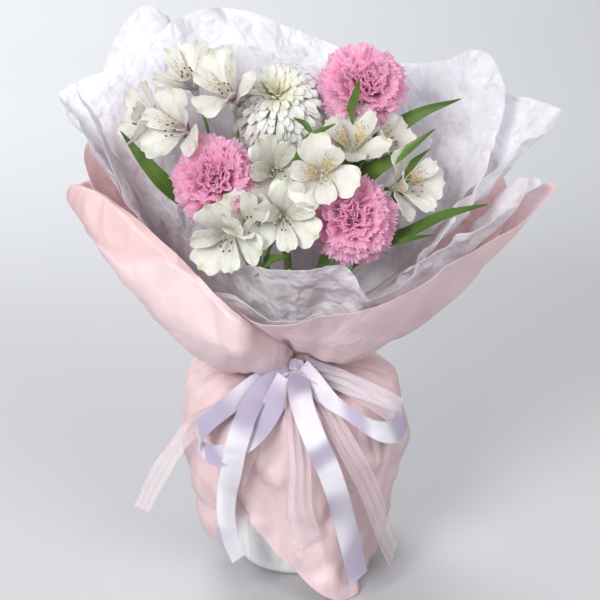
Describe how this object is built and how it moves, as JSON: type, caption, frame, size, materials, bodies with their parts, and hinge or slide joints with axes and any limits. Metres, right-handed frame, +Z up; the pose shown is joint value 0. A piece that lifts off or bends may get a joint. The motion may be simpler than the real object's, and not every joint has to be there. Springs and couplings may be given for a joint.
{
  "type": "bunch of carnations",
  "caption": "Wrapped bunch of pink carnations with white alstroemeria and a large chrysanthemum, in tissue and pink paper tied with ribbon, standing in a fluted vase.",
  "frame": {"origin": "middle of the vase's foot, on the surface it stands on", "axes": "+Z up, -Y towards the front of the bouquet, +X to the viewer's right"},
  "size_m": [0.3965, 0.2759, 0.4386],
  "materials": {
    "carnation": "soft matt petals",
    "chrysanthemum": "soft matt petals",
    "alstroemeria": "satin-matt petals",
    "green": "fresh green stems and leaves",
    "tissue": "thin fibrous tissue",
    "pink_paper": "frosted wrapping paper",
    "satin": "satin sheen",
    "organza": "sheer with a glittering edge",
    "vase": "white glaze",
    "water": "still water",
    "twine": "natural twine"
  },
  "bodies": {
    "root": {"vase": "vase", "water": "water", "stem_twine": "twine", "satin_ribbon": "satin", "organza_ribbon": "organza", "carnation_left": "carnation", "carnation_stem_left": "green", "carnation_top": "carnation", "carnation_stem_top": "green", "carnation_right": "carnation", "carnation_stem_right": "green", "chrysanthemum": "chrysanthemum", "chrysanthemum_stem": "green", "alstroemeria_top_left_1": "alstroemeria", "alstroemeria_top_left_2": "alstroemeria", "alstroemeria_top_left_3": "alstroemeria", "alstroemeria_top_left_4": "alstroemeria", "alstroemeria_stem_top_left": "green", "alstroemeria_front_1": "alstroemeria", "alstroemeria_front_2": "alstroemeria", "alstroemeria_front_3": "alstroemeria", "alstroemeria_stem_front": "green", "alstroemeria_middle_1": "alstroemeria", "alstroemeria_stem_middle": "green", "alstroemeria_right_1": "alstroemeria", "alstroemeria_right_2": "alstroemeria", "alstroemeria_right_3": "alstroemeria", "alstroemeria_stem_right": "green", "alstroemeria_far_right_1": "alstroemeria", "alstroemeria_stem_far_right": "green", "tissue_inner_back": "tissue", "tissue_back": "tissue", "tissue_back_right": "tissue", "tissue_right": "tissue", "tissue_back_left": "tissue", "tissue_front_right": "tissue", "tissue_front_left": "tissue", "tissue_left_corner": "tissue", "wrap_back": "pink_paper", "wrap_right": "pink_paper", "wrap_left": "pink_paper", "skirt_right": "pink_paper", "skirt_left": "pink_paper"}
  },
  "joints": []
}
